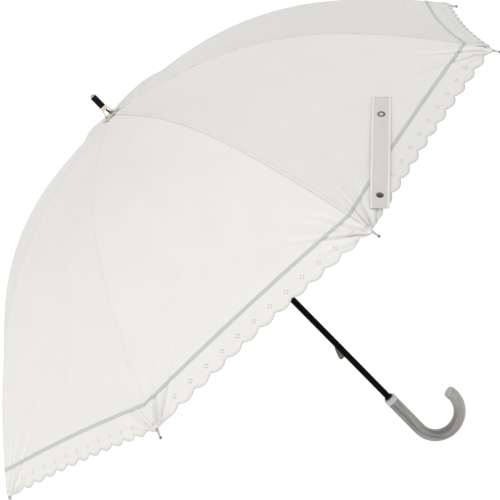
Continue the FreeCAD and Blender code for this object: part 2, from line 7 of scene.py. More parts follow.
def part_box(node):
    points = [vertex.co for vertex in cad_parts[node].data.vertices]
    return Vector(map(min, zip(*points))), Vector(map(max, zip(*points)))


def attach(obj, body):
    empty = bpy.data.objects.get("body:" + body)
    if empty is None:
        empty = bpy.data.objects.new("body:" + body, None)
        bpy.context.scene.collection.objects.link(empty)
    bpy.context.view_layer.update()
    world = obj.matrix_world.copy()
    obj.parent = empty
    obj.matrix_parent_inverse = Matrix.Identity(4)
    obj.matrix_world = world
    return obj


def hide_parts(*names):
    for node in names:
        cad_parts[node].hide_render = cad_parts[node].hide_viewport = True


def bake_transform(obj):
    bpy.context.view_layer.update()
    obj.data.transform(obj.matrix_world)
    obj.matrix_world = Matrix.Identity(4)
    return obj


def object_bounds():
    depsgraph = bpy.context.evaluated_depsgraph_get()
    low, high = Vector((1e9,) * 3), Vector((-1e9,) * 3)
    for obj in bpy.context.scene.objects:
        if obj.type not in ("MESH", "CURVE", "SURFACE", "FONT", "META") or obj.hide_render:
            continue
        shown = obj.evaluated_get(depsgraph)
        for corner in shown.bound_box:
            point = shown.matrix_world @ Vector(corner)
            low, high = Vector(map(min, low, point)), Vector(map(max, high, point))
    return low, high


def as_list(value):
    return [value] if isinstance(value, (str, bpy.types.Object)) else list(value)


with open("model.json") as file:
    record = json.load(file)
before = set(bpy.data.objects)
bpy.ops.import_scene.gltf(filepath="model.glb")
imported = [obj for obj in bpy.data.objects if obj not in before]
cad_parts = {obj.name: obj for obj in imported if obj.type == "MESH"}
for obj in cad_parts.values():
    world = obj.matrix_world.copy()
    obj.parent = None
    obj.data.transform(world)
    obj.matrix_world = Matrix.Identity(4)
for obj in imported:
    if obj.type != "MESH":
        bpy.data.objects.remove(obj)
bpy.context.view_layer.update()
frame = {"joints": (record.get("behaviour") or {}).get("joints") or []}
millimetre = 0.001
# the peak is the middle of the CAD panels' thickness, over the shaft
panel_thickness = 0.8 * millimetre

# ---- Camera ----
# A long lens stands well back, a little above the hem, and rolls to lay the shaft on a diagonal.
peak = Vector((0, 0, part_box("canopy_panel_1")[1].z - panel_thickness / 2))
aim_below_peak = 0.2
camera_aim = peak - Vector((0, 0, aim_below_peak))
camera_rise = math.radians(12.97)
camera_distance = 3.25
camera_roll = math.radians(-44.54)
toward_camera = Vector((0, -math.cos(camera_rise), math.sin(camera_rise)))
bpy.ops.object.camera_add(location=camera_aim + toward_camera * camera_distance)
camera = bpy.context.object
camera.rotation_mode = "QUATERNION"
camera.rotation_quaternion = (-toward_camera).to_track_quat("-Z", "Y")
camera.rotation_quaternion @= Matrix.Rotation(camera_roll, 4, "Z").to_quaternion()
camera.data.lens = 190.75
camera.data.sensor_width = 36
camera.data.shift_x = 0.0515
camera.data.shift_y = -0.0397
camera.data.clip_end = 200
bpy.context.scene.camera = camera
bpy.context.scene.view_settings.view_transform = "Standard"


# ---- Floor and light ----
# A pale studio floor under the handle, one large soft lamp to the left of the camera,
# and a white room that is brightest at the horizon.
class Val:
    """A shader socket that can be used in a sum, so that a pattern reads as a formula."""

    def __init__(self, socket):
        self.socket = socket

    def sum_with(self, operation, *values):
        math_node = self.socket.node.id_data.nodes.new("ShaderNodeMath")
        math_node.operation = operation
        for slot, value in zip(math_node.inputs, values):
            join(slot, value)
        return Val(math_node.outputs[0])

    def __add__(self, other):
        return self.sum_with("ADD", self, other)

    def __mul__(self, other):
        return self.sum_with("MULTIPLY", self, other)

    def __sub__(self, other):
        return self.sum_with("SUBTRACT", self, other)

    def __rsub__(self, other):
        return self.sum_with("SUBTRACT", other, self)

    def __pow__(self, other):
        return self.sum_with("POWER", self, other)

    def above(self, level):
        return self.sum_with("GREATER_THAN", self, level)

    def sine(self):
        return self.sum_with("SINE", self)

    def size(self):
        return self.sum_with("ABSOLUTE", self)

    __radd__ = __add__
    __rmul__ = __mul__


def join(socket, value):
    """Feed a socket with a Val, a number or a colour."""
    if isinstance(value, Val):
        socket.id_data.links.new(value.socket, socket)
    elif isinstance(value, (int, float)):
        socket.default_value = value
    else:
        socket.default_value = tuple(value) + (1,) * (len(socket.default_value) - len(value))


class Finish:
    """The nodes of a material, round one Principled shader."""

    def __init__(self, name, **constants):
        self.material = bpy.data.materials.new(name)
        self.material.use_nodes = True
        self.tree = self.material.node_tree
        self.shader = self.tree.nodes["Principled BSDF"]
        for socket, value in constants.items():
            join(self.shader.inputs[socket.replace("_", " ")], value)

    def node(self, kind, settings=(), inputs=(), output=0):
        made = self.tree.nodes.new("ShaderNode" + kind)
        for key, value in dict(settings).items():
            setattr(made, key, value)
        for key, value in dict(inputs).items():
            join(made.inputs[key], value)
        return Val(made.outputs[output])

    def place(self):
        return self.node("TexCoord", output="Object")

    def stretched(self, scale, at=None):
        """Coordinates with each direction scaled, for a pattern longer one way than another."""
        return self.node("Mapping", inputs={"Vector": at or self.place(), "Scale": scale})

    def surface(self, direction):
        """One direction of the piece's own UV map, in millimetres."""
        split = self.node("SeparateXYZ", inputs={"Vector": self.node("TexCoord", output="UV")})
        return Val(split.socket.node.outputs[direction])

    def noise(self, scale, detail=3.0, at=None):
        return self.node("TexNoise", inputs={"Vector": at or self.place(), "Scale": scale,
                                             "Detail": detail})

    def mix(self, share, first, second):
        mixed = self.node("Mix", {"data_type": "RGBA"}, output=2)
        for slot, value in zip((0, 6, 7), (share, first, second)):
            join(mixed.socket.node.inputs[slot], value)
        return mixed

    def set(self, socket, value):
        join(self.shader.inputs[socket], value)

    def bump(self, height, depth, strength=1.0):
        sockets = {"Height": height, "Distance": depth, "Strength": strength}
        self.set("Normal", self.node("Bump", inputs=sockets))


floor_gap = 2 * millimetre
floor_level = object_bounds()[0].z - floor_gap
bpy.ops.object.select_all(action="DESELECT")
bpy.ops.mesh.primitive_circle_add(vertices=96, radius=40, fill_type="NGON",
                                  location=(0, 0, floor_level))
floor = bpy.context.object
floor.name = "studio_floor"
floor_finish = Finish("pale_floor", Base_Color=(0.25, 0.25, 0.25), Roughness=1.0,
                      Specular_IOR_Level=0.0, Emission_Color=(1, 1, 1), Emission_Strength=0.86)
floor.data.materials.append(floor_finish.material)


class Room(Finish):
    """The nodes of the world's light."""

    def __init__(self, name):
        self.world = bpy.data.worlds.new(name)
        self.world.use_nodes = True
        self.tree = self.world.node_tree
        self.shader = self.tree.nodes["Background"]


room = Room("white_room")
bpy.context.scene.world = room.world
room_split = room.node("SeparateXYZ", inputs={"Vector": room.node("TexCoord", output="Generated")})
room_height = Val(room_split.socket.node.outputs["Z"]).size()
room.set("Color", room.mix(room_height, (1.0, 1.0, 1.0), (0.9, 0.9, 0.9)))
room.set("Strength", 0.9)

# each lamp: its place in metres, its side in metres and its power in watts
lamps = {"key": (Vector((-1.35, -2.9, 1.9)), 2.2, 26),
         "top": (Vector((-0.6, 0.6, 3.2)), 2.4, 5)}
for lamp_name, (lamp_place, lamp_side, lamp_power) in lamps.items():
    bpy.ops.object.light_add(type="AREA", location=lamp_place)
    lamp = bpy.context.object
    lamp.name = lamp_name
    lamp.data.size = lamp_side
    lamp.data.energy = lamp_power
    lamp.rotation_euler = (lamp_place - camera_aim).to_track_quat("Z", "Y").to_euler()


# ---- Canopy cloth ----
# Eight gores of white cotton, sewn edge to edge over the ribs and cut to a scalloped hem.
# The cloth hollows a little between the ribs and gathers in folds where it is sewn to their ends.
seam_hub_radius = 8 * millimetre
seam_hub_slope = math.radians(4.1)
seam_arcs = ((105 * millimetre, 942 * millimetre),
             (215 * millimetre, 420 * millimetre),
             (170 * millimetre, 875 * millimetre))
cloth_length = sum(length for length, bend in seam_arcs)
gore_count = 8
half_gore = math.pi / gore_count
strap_gore = 3
gore_hollow = 3.5 * millimetre
crown_hollow = 4 * millimetre
crown_hollow_start, crown_hollow_reach = 14 * millimetre, 240 * millimetre
cloth_thickness = 0.3 * millimetre
hem_curve = 4.5 * millimetre
hem_trim = 2.2 * millimetre
# the hem is cut back a little at a gore's first corner, over this share of its width
corner_rise, corner_rise_width = 2.6 * millimetre, 0.07
scallop_count = 12
scallop_start = 0.038
scallop_pitch = 0.0762
scallop_depth = 5.0 * millimetre

# the doubled band beside a seam and the grooves of its stitching, in millimetres
felled_width, felled_height, felled_softness = 4.2, 0.5, 0.5
groove_depth, groove_widths = 0.55, (1.0, 1.2)
ripple_height, ripple_length, ripple_reach = 0.06, 5.5, 9

# the tucks by the strap's seam, in millimetres: place along the gore and off its middle line
tuck_place = (400, 6)
tuck_height, tuck_length, tuck_lean = 0.55, 2.1, 0.55
tuck_reach = (22, 14)

# each fold: degrees from the seam, depth, half width and reach in millimetres
corner_folds = ((19, 4.3, 1.1, 52), (41, 4.8, 1.15, 54), (60, 2.8, 1.3, 44), (31, 1.2, 4.0, 110))
# a fold widens away from the corner, rises over its first stretch and has a swell on each side
fold_flare = 0.022
fold_rise = 14
swell_place, swell_near, swell_far = 1.9, 0.4, 0.25
# nothing gathers beyond this reach, and the cloth tied to the rib is held up, in millimetres
gather_reach = 200
corner_setback = 1.5
tied_width = 3.2

# cloth over a rib's own width is counted as that rib's own; near the crown, this share of the gore's width
held_by_rib, held_share = 2.7 * millimetre, 0.1


def seam(along):
    """Radius, height and slope of a rib seam at a distance along it from the hub."""
    radius, height, slope = seam_hub_radius, peak.z, seam_hub_slope
    for length, bend in seam_arcs:
        part = min(along, length)
        turned = slope + part / bend
        radius += bend * (math.sin(turned) - math.sin(slope))
        height -= bend * (math.cos(slope) - math.cos(turned))
        slope = turned
        along -= part
    return radius, height, slope


rib_axes = {joint["name"]: Vector(joint["axis"]) for joint in frame["joints"]}


def rib_direction(number):
    """Level direction from the shaft towards a rib, square to that rib's hinge."""
    axis = rib_axes["rib_%d_fold" % ((number - 1) % gore_count + 1)]
    return Vector((axis.y, -axis.x, 0))


def gore_width(along):
    """Straight distance between the two seams of a gore."""
    return 2 * seam(along)[0] * math.sin(half_gore)


def hem_edge(across):
    """Distance along the cloth of its edge: plain at the first rib, then scalloped."""
    edge = cloth_length - hem_trim - hem_curve * math.sin(math.pi * across)
    edge -= corner_rise * math.exp(-(across / corner_rise_width) ** 2)
    turn = (across - scallop_start) / scallop_pitch
    if turn < 0.5:
        return edge
    return edge - scallop_depth * (1 - abs(math.sin(math.pi * turn)))


def hollow(along, across):
    """How far the tight cloth sinks between two ribs: most under the crown, and again at the hem."""
    part = min(max((along - crown_hollow_start) / crown_hollow_reach, 0.0), 1.0)
    depth = crown_hollow * math.sin(math.pi * part) ** 2 + gore_hollow * (along / cloth_length) ** 1.5
    return depth * math.sin(math.pi * across)


def strap_tucks(along, across):
    """Small tucks in the third gore, beside the seam that holds the closing strap."""
    up = along / millimetre - tuck_place[0]
    aside = (across - 0.5) * gore_width(along) / millimetre - tuck_place[1]
    fade = math.exp(-(up / tuck_reach[0]) ** 2 - (aside / tuck_reach[1]) ** 2)
    return tuck_height * math.sin((aside + tuck_lean * up) / tuck_length) * fade * millimetre


def corner_fold(number, gore, side, reach, angle):
    """Height of one fold: a valley with a swell on each side."""
    lean, depth, width, length = corner_folds[number]
    # the sines of the gore, side and fold make every corner a little different
    vary = -math.sin(gore * 2.3 + side * 4.1 + number * 1.7)
    width *= 1.25 + 0.35 * math.sin(gore * 3.7 + side * 1.3 + number * 2.9)
    offset = reach * math.radians(angle - lean * (1 + 0.08 * vary)) / (width + fold_flare * reach)
    size = min(1, reach / fold_rise) * math.exp(-(reach / length) ** 2) * depth * (1 + 0.25 * vary)
    swells = (swell_near * math.exp(-(offset - swell_place) ** 2)
              + swell_far * math.exp(-(offset + swell_place) ** 2))
    return size * (swells - math.exp(-offset ** 2))


def corner_gathers(gore, along, across):
    """Height of the folds that fan out from a corner; over the rib they rise but don't sink."""
    side = 0 if across < 0.5 else 1
    near = min(across, 1 - across) * gore_width(along) / millimetre
    back = max(cloth_length - along, 0) / millimetre
    reach = math.hypot(near, back)
    if reach > gather_reach:
        return 0.0
    angle = math.degrees(math.atan2(near, back + corner_setback))
    height = sum(corner_fold(number, gore, side, reach, angle) for number in range(len(corner_folds)))
    over_rib = math.exp(-(near / tied_width) ** 2)
    return (max(height, 0) * over_rib + height * (1 - over_rib)) * millimetre


def felled_seam(along, across):
    """Height of the doubled band beside a seam, of the grooves at both seams and of their ripple."""
    width = gore_width(along) / millimetre
    first, second = across * width, (1 - across) * width
    band = 0.5 - 0.5 * math.tanh((first - felled_width) / felled_softness)
    groove = sum(math.exp(-(aside / wide) ** 2) for aside, wide in zip((first, second), groove_widths))
    ripple = ripple_height * math.sin(along / (ripple_length * millimetre))
    ripple *= math.exp(-(min(first, second) / ripple_reach) ** 2)
    return (felled_height * band - groove_depth * groove + ripple) * millimetre


def plain_skin(gore, along, across):
    """Point of a gore before it hollows or folds, and the direction out of its face."""
    radius, height, slope = seam(along)
    first, second = rib_direction(gore), rib_direction(gore + 1)
    middle = (first + second).normalized()
    outward = middle * math.sin(slope) + Vector((0, 0, math.cos(slope) * math.cos(half_gore)))
    return first.lerp(second, across) * radius + Vector((0, 0, height)), outward.normalized()


def cloth_point(gore, along, across, lift=0.0):
    """Point of a gore, `across` from 0 at its first rib to 1 at its second."""
    point, outward = plain_skin(gore, along, across)
    rise = lift - hollow(along, across) + felled_seam(along, across)
    rise += corner_gathers(gore, along, across)
    if gore == strap_gore:
        rise += strap_tucks(along, across)
    return point + outward * rise


def outward_at(gore, along, across):
    """Direction out of the cloth's face, one metre long."""
    return cloth_point(gore, along, across, 1) - cloth_point(gore, along, across)


def steps(start, end, count):
    """Evenly spaced numbers from start to end, both included."""
    return [start + (end - start) * i / count for i in range(count + 1)]


# places of the cloth's points across a gore, closest at the felled band and in the corners' folds
first_edge = [0.0, 0.0025, 0.005, 0.0075, 0.0105, 0.0125, 0.0145,
              0.0175, 0.021, 0.0245, 0.028, 0.0315, 0.035]
last_edge = [0.956, 0.96, 0.964, 0.968, 0.972, 0.976, 0.98,
             0.984, 0.988, 0.9915, 0.9945, 0.997, 1.0]
fine_scallops, fine_steps, plain_steps = 2, 24, 12
scallop_end = scallop_start + scallop_count * scallop_pitch
first_fine = scallop_start + fine_scallops * scallop_pitch
last_fine = scallop_end - fine_scallops * scallop_pitch
columns = first_edge + steps(scallop_start, first_fine, fine_scallops * fine_steps)[:-1]
columns += steps(first_fine, last_fine, (scallop_count - 2 * fine_scallops) * plain_steps)[:-1]
columns += steps(last_fine, scallop_end, fine_scallops * fine_steps) + last_edge
hem_start = cloth_length - 70 * millimetre
plain_rows = steps(0, hem_start, 44)[:-1]
hem_rows = steps(0, 1, 40)


def row_places(across):
    """Distances along the cloth of the points at one place across: the last close up on the hem."""
    below = hem_edge(across) - hem_start
    return plain_rows + [hem_start + below * share for share in hem_rows]


def make_mesh(name, points, faces, uvs=None):
    """Mesh object from points and faces, with an optional UV for each point, in millimetres."""
    mesh = bpy.data.meshes.new(name)
    mesh.from_pydata(points, [], faces)
    if uvs:
        layer = mesh.uv_layers.new(name="UVMap")
        for loop in mesh.loops:
            layer.data[loop.index].uv = uvs[loop.vertex_index]
    mesh.shade_smooth()
    piece = bpy.data.objects.new(name, mesh)
    bpy.context.scene.collection.objects.link(piece)
    return piece


def grid_faces(row_count, column_count):
    """Faces of a grid of points, given row by row."""
    corners = ((0, 0), (1, 0), (1, 1), (0, 1))
    return [tuple((row + down) * column_count + column + over for down, over in corners)
            for row in range(row_count - 1) for column in range(column_count - 1)]


def thicken(piece, thickness, offset=0.0):
    """Give a sheet its thickness as real faces."""
    solid = piece.modifiers.new("thickness", "SOLIDIFY")
    solid.thickness = thickness
    solid.offset = offset
    bpy.context.view_layer.objects.active = piece
    bpy.ops.object.modifier_apply(modifier=solid.name)


def place_across(gore, point):
    """How far across its gore a point lies, from 0 to 1, with what a rib holds counted as its own."""
    first, second = rib_direction(gore), rib_direction(gore + 1)
    chord = second - first
    flat = Vector((point[0], point[1], 0))
    width = flat.dot((first + second).normalized()) / math.cos(half_gore) * chord.length
    free_width = width - 2 * min(held_by_rib, width * held_share)
    return min(max(0.5 + flat.dot(chord.normalized()) / free_width, 0.0), 1.0)


def gather(piece, gore, place=None):
    """Bake a piece's placement into its mesh, and work out each point's place across its gore, or one
    given place.
    """
    first, second = rib_direction(gore), rib_direction(gore + 1)
    "rib_%d" % gore
    "panel_%d" % gore
    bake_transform(piece)
    places = [place_across(gore, vertex.co) if place is None else place
              for vertex in piece.data.vertices]


cloth = Finish("canopy_cotton", Roughness=0.82, Sheen_Weight=0.12, Sheen_Roughness=0.5,
               Specular_IOR_Level=0.3)
cloth_slub = cloth.noise(420, 4)
cloth_cloud = cloth.noise(26, 2)
cloth_tone = cloth_slub * 0.55 + cloth_cloud * 0.45
cloth.set("Base Color", cloth.mix(cloth_tone, (0.795, 0.782, 0.745), (0.885, 0.875, 0.84)))
thread_pitch = 0.5
warp = (cloth.surface("X") * (math.tau / thread_pitch)).sine()
weft = (cloth.surface("Y") * (math.tau / thread_pitch)).sine()
cloth.bump(warp * weft * 0.5 + cloth_slub * 1.4, 0.00012)

gores = {}
cloth_places = [(along, across)
                for row in zip(*(row_places(across) for across in columns))
                for along, across in zip(row, columns)]
cloth_faces = grid_faces(len(plain_rows) + len(hem_rows), len(columns))
cloth_uvs = [((across - 0.5) * gore_width(along) / millimetre, along / millimetre)
             for along, across in cloth_places]
for gore in range(1, gore_count + 1):
    points = [cloth_point(gore, along, across) for along, across in cloth_places]
    piece = make_mesh("canopy_gore_%d" % gore, points, cloth_faces, cloth_uvs)
    piece.data.materials.append(cloth.material)
    thicken(piece, cloth_thickness)
    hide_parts("canopy_panel_%d" % gore)
    gather(piece, gore)
    gores[gore] = piece

# ---- Ribbon ----
# A narrow silver-grey satin ribbon, sewn flat round the canopy a little above the scallops.
# Its width is in millimetres.
ribbon_width = 4.0
ribbon_above_hem = 36.3 * millimetre
ribbon_curve = 4.0 * millimetre
ribbon_lift = 0.35 * millimetre
ribbon_gap = 0.15 * millimetre
ribbon_thickness = 0.12 * millimetre

ribbon = Finish("grey_ribbon", Roughness=0.42, Sheen_Weight=0.2, Specular_IOR_Level=0.45)
ribbon_edge = ribbon.surface("X").size().above(1.3)
ribbon_ribs = (ribbon.surface("Y") * (math.tau / 0.6)).sine()
ribbon.set("Base Color", ribbon.mix(ribbon_edge, (0.60, 0.61, 0.59), (0.50, 0.51, 0.49)))
ribbon.bump(ribbon_ribs + ribbon_edge * -1.5, 0.00006)


def ribbon_line(across):
    """Distance along the cloth of the ribbon's middle line."""
    return cloth_length - ribbon_above_hem - ribbon_curve * math.sin(math.pi * across)


trims = {gore: [] for gore in gores}


def add_trim(piece, gore, finish):
    """Finish a trim that is sewn to a gore, and list it with that gore's trims."""
    piece.data.materials.append(finish.material)
    gather(piece, gore)
    trims[gore].append(piece)


ribbon_columns = steps(0, 1, 160)
# each place across the ribbon: share of its half width and share of its lift
ribbon_profile = [(-1.0, 0.0), (-0.94, 1.0), (-0.5, 1.15), (0, 1.2),
                  (0.5, 1.15), (0.94, 1.0), (1.0, 0.0)]
ribbon_faces = grid_faces(len(ribbon_profile), len(ribbon_columns))
for gore in gores:
    points, uvs = [], []
    for side, rise in ribbon_profile:
        for across in ribbon_columns:
            along = ribbon_line(across) + side * ribbon_width / 2 * millimetre
            points.append(cloth_point(gore, along, across, ribbon_gap + rise * ribbon_lift))
            uvs.append((side * ribbon_width / 2, across * gore_width(along) / millimetre))
    piece = make_mesh("ribbon_%d" % gore, points, ribbon_faces, uvs)
    thicken(piece, ribbon_thickness, -1)
    add_trim(piece, gore, ribbon)

# ---- Hem edge ----
# Close satin stitches in pale grey thread bind the scallops, with a line of running stitches inside
# them. Short bars of thread tie the corners to the ribs' ends.
edge_bead = 0.5 * millimetre
bead_sink, bead_flatness = 0.4, 0.8
bead_sides = 8
hem_thread = Finish("hem_thread", Roughness=0.6, Sheen_Weight=0.1)
thread_twist = (hem_thread.surface("Y") * (math.tau / 0.7)).sine()
hem_tone = hem_thread.mix(thread_twist * 0.5 + 0.5, (0.50, 0.505, 0.49), (0.64, 0.645, 0.625))
hem_thread.set("Base Color", hem_tone)
hem_thread.bump(thread_twist, 0.0001)

for gore in gores:
    points, uvs, run = [], [], 0.0
    centres = [cloth_point(gore, hem_edge(across) - edge_bead * bead_sink, across)
               for across in columns]
    for index, (across, centre) in enumerate(zip(columns, centres)):
        before, after = centres[max(index - 1, 0)], centres[min(index + 1, len(centres) - 1)]
        run += (centre - before).length / millimetre
        forward = (after - before).normalized()
        up = outward_at(gore, hem_edge(across), across)
        side = forward.cross(up).normalized()
        for turn in range(bead_sides):
            angle = math.tau * turn / bead_sides
            around = side * math.cos(angle) + up * math.sin(angle) * bead_flatness
            points.append(centre + around * edge_bead)
            uvs.append((turn, run))
    faces = [(i * bead_sides + t, i * bead_sides + (t + 1) % bead_sides,
              (i + 1) * bead_sides + (t + 1) % bead_sides, (i + 1) * bead_sides + t)
             for i in range(len(centres) - 1) for t in range(bead_sides)]
    faces.append(tuple(reversed(range(bead_sides))))
    faces.append(tuple(range(len(points) - bead_sides, len(points))))
    add_trim(make_mesh("hem_edge_%d" % gore, points, faces, uvs), gore, hem_thread)


# rows of points across a stitch: share of its pitch and share of its width
stitch_rows = ((0.12, 0.3), (0.5, 1.0), (0.88, 0.3))
stitch_edge = 0.12
path_samples = 40
path_step = 0.0005


def sew(name, surface, paths, pitch, width=0.28, rise=0.42):
    """One mesh of lens-shaped stitches that lie along paths on a surface, sizes in millimetres."""
    points, faces, uvs = [], [], []
    for path in paths:
        samples = [path(share) for share in steps(0, 1, path_samples)]
        length = sum(math.dist(a, b) for a, b in zip(samples, samples[1:])) / millimetre
        count = max(1, round(length / pitch))
        for number in range(count):
            base = len(points)
            for share, wide in stitch_rows:
                place = (number + share) / count
                before, after = path(place - path_step), path(place + path_step)
                step = math.dist(before, after)
                ahead, aside = (after[0] - before[0]) / step, (after[1] - before[1]) / step
                here = path(place)
                for side, lift in ((-1, stitch_edge), (0, rise), (1, stitch_edge)):
                    off = side * wide * width * millimetre
                    points.append(surface(here[0] - aside * off, here[1] + ahead * off,
                                          lift * millimetre))
                    uvs.append((side, (number + share) * pitch))
            faces += [tuple(base + i for i in quad)
                      for quad in ((0, 1, 4, 3), (1, 2, 5, 4), (3, 4, 7, 6), (4, 5, 8, 7))]
    return make_mesh(name, points, faces, uvs)


def on_gore(gore):
    """Surface of a gore, by distance along it and distance from its first seam."""
    return lambda along, aside, lift: cloth_point(gore, along, aside / gore_width(along), lift)


hem_inset = 2.2 * millimetre
hem_run_start = 0.012
seam_run_start, seam_run_end, seam_run_aside = 24 * millimetre, 10 * millimetre, 3.3 * millimetre
tack_inset, tack_pitch, tack_length = 9.5 * millimetre, 0.8 * millimetre, 2.6 * millimetre
tack_bars = 5


def hem_run(share):
    """Stitching along the scallops, a little inside their edge."""
    across = hem_run_start + (1 - 2 * hem_run_start) * share
    along = hem_edge(across) - hem_inset
    return along, across * gore_width(along)


def seam_run(share):
    """Stitching down the felled band, a few millimetres from the seam."""
    along = seam_run_start + share * (cloth_length - seam_run_start - seam_run_end)
    return along, seam_run_aside


def corner_bar(number, second_side):
    """One bar of the tack that ties a corner to the rib's end."""
    along = cloth_length - tack_inset - number * tack_pitch

    def path(share):
        aside = tack_length * share
        return along, gore_width(along) - aside if second_side else aside
    return path


for gore in gores:
    add_trim(sew("hem_stitches_%d" % gore, on_gore(gore), [hem_run], 3.0), gore, hem_thread)
    bars = [corner_bar(number, second_side)
            for number in range(tack_bars) for second_side in (False, True)]
    add_trim(sew("corner_tack_%d" % gore, on_gore(gore), bars, 3.0, 0.3, 0.6), gore, hem_thread)


def mottled(name, roughness, scale, dark, pale):
    """A plain finish, mottled finely between two tones."""
    finish = Finish(name, Roughness=roughness)
    finish.set("Base Color", finish.mix(finish.noise(scale), dark, pale))
    return finish


seam_thread = mottled("seam_thread", 0.65, 800, (0.66, 0.65, 0.62), (0.78, 0.77, 0.735))
for gore in gores:
    seam_stitches = sew("seam_stitches_%d" % gore, on_gore(gore), [seam_run], 3.2, 0.24, 0.36)
    add_trim(seam_stitches, gore, seam_thread)

# ---- Eyelets ----
# A flower of four tiny holes, each worked round with thread, above every hollow between scallops. Each
# hole is a dark disc of painted shade laid over the cloth.
eyelet_spread = 2.2 * millimetre
eyelet_above = 10 * millimetre
# each ring: radius and height above the cloth, in millimetres
eyelet_rings = ((0.95, 0.16), (0.76, 0.40), (0.5, 0.34), (0.5, 0.17))
eyelet_sides = 10
eyelet_thread = mottled("eyelet_thread", 0.65, 900, (0.60, 0.60, 0.58), (0.72, 0.72, 0.69))
# painted shade: the dark tone of the discs that stand for the holes
hole_painted_shade = mottled("eyelet_hole_painted_shade", 0.9, 900, (0.20, 0.20, 0.19), (0.30, 0.30, 0.285))

for gore in gores:
    points, faces, holes = [], [], set()
    for number in range(1, scallop_count + 1):
        across = scallop_start + scallop_pitch * number
        middle = hem_edge(across) - eyelet_above
        wide = gore_width(middle)
        for x, y in ((1, 0), (-1, 0), (0, 1), (0, -1)):
            base = len(points)
            for radius, rise in eyelet_rings:
                for turn in range(eyelet_sides):
                    angle = math.tau * turn / eyelet_sides
                    aside = x * eyelet_spread + radius * millimetre * math.cos(angle)
                    along = middle + y * eyelet_spread + radius * millimetre * math.sin(angle)
                    points.append(cloth_point(gore, along, across + aside / wide, rise * millimetre))
            last_ring = base + (len(eyelet_rings) - 1) * eyelet_sides
            for ring in range(base, last_ring, eyelet_sides):
                for turn in range(eyelet_sides):
                    a, b = ring + turn, ring + (turn + 1) % eyelet_sides
                    faces.append((a, a + eyelet_sides, b + eyelet_sides, b))
            holes.add(len(faces))
            faces.append(tuple(last_ring + turn for turn in reversed(range(eyelet_sides))))
    piece = make_mesh("hem_eyelets_%d" % gore, points, faces)
    add_trim(piece, gore, eyelet_thread)
    # the discs over the holes take the painted shade
    piece.data.materials.append(hole_painted_shade.material)
    for index in holes:
        piece.data.polygons[index].material_index = 1

# the cloth's area from evenly spaced widths, less what the scallops and the hem's curve cut away
area_places = steps(0, cloth_length, 98)
left_by_hem = 0.985
mean_width = sum(gore_width(along) for along in area_places) / len(area_places)
gore_area = mean_width * cloth_length * left_by_hem
for gore, piece in gores.items():
    gore_width(cloth_length)
    "rib_%d" % gore
    "rib_%d" % (gore % gore_count + 1)
    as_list(trims[gore])

# ---- Closing strap ----
# A doubled band of pinkish-grey cloth with raised rims, sewn to the third gore at one end.
# Its ends are given along the gore and off its middle line, its other sizes in millimetres.
strap_width = 22.0
strap_sewn_end = (404.2 * millimetre, 30.8 * millimetre)
strap_free_end = (480.1 * millimetre, -129.6 * millimetre)
strap_length = math.dist(strap_sewn_end, strap_free_end)
# the band's thickness, how far it stands off, arches and curls up, and where the curl begins
strap_thickness = 0.85
strap_stand_off, strap_arch, strap_curl, curl_start = 0.5, 1.1, 1.6, 0.82
strap_taper, strap_narrowing = 5 * millimetre, 0.2
strap_top = 0.68 * millimetre


def on_strap_path(run, side, lift):
    """Point over the gore: `run` along the strap's middle line and `side` off it, in metres."""
    step_along = (strap_free_end[0] - strap_sewn_end[0]) / strap_length
    step_across = (strap_free_end[1] - strap_sewn_end[1]) / strap_length
    along = strap_sewn_end[0] + run * step_along - side * step_across
    aside = strap_sewn_end[1] + run * step_across + side * step_along
    # the band bridges the felled seam and the folds, so it follows the gore without them
    across = 0.5 + aside / gore_width(along)
    point, outward = plain_skin(strap_gore, along, across)
    return point + outward * (lift - hollow(along, across))


def strap_wave(run):
    """How far the band stands off the cloth: it arches in the middle and curls up at its free end."""
    share = run / strap_length
    arch = strap_arch * math.sin(math.pi * share) ** 2
    curl = strap_curl * max(0, share - curl_start) / (1 - curl_start)
    return (strap_stand_off + arch + curl) * millimetre


def on_strap(run, side, lift):
    """Point of the band's upper face, for its stitches."""
    return on_strap_path(run, side, lift + strap_wave(run) + strap_top)


strap = Finish("strap_cloth", Roughness=0.6, Sheen_Weight=0.25, Sheen_Roughness=0.4,
               Specular_IOR_Level=0.35)
strap_rim = strap.surface("X").size().above(8.3)
strap_tone = strap.mix(strap.noise(160), (0.655, 0.63, 0.60), (0.72, 0.695, 0.665))
strap.set("Base Color", strap.mix(strap_rim, strap_tone, (0.80, 0.785, 0.755)))
strap_twill = ((strap.surface("X") + strap.surface("Y")) * (math.tau / 0.55)).sine()
strap.bump(strap_twill + strap.noise(700) * 0.6, 0.00003)

# each place across the strap: share of its half width and share of its thickness
strap_sections = [(-1, 0.0), (-0.985, 0.7), (-0.93, 1.0), (-0.86, 1.05), (-0.79, 1.0),
                  (-0.755, 0.6), (-0.71, 0.78), (-0.4, 0.9), (0, 0.93), (0.4, 0.9), (0.73, 0.78),
                  (0.78, 0.6), (0.815, 1.0), (0.87, 1.05), (0.93, 1.0), (0.985, 0.7), (1, 0.0)]
strap_runs = steps(0, strap_length, 110)
points, uvs = [], []
for side, rise in strap_sections:
    for run in strap_runs:
        near_end = max(0.0, 1 - (strap_length - run) / strap_taper)
        wide = strap_width / 2 * (1 - strap_narrowing * near_end ** 3)
        lift = rise * strap_thickness * millimetre + strap_wave(run)
        points.append(on_strap_path(run, side * wide * millimetre, lift))
        uvs.append((side * strap_width / 2, run / millimetre))
strap_faces = grid_faces(len(strap_sections), len(strap_runs))
strap_band = make_mesh("strap_band", points, strap_faces, uvs)
strap_band.data.materials.append(strap.material)
thicken(strap_band, 0.4 * millimetre, -1)
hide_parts("strap")
gather(strap_band, strap_gore)

strap_thread = mottled("strap_thread", 0.55, 800, (0.46, 0.44, 0.42), (0.55, 0.53, 0.50))


def strap_run(start, end):
    """Straight line of stitching between two places on the strap, in millimetres."""
    return lambda share: tuple((a + (b - a) * share) * millimetre for a, b in zip(start, end))


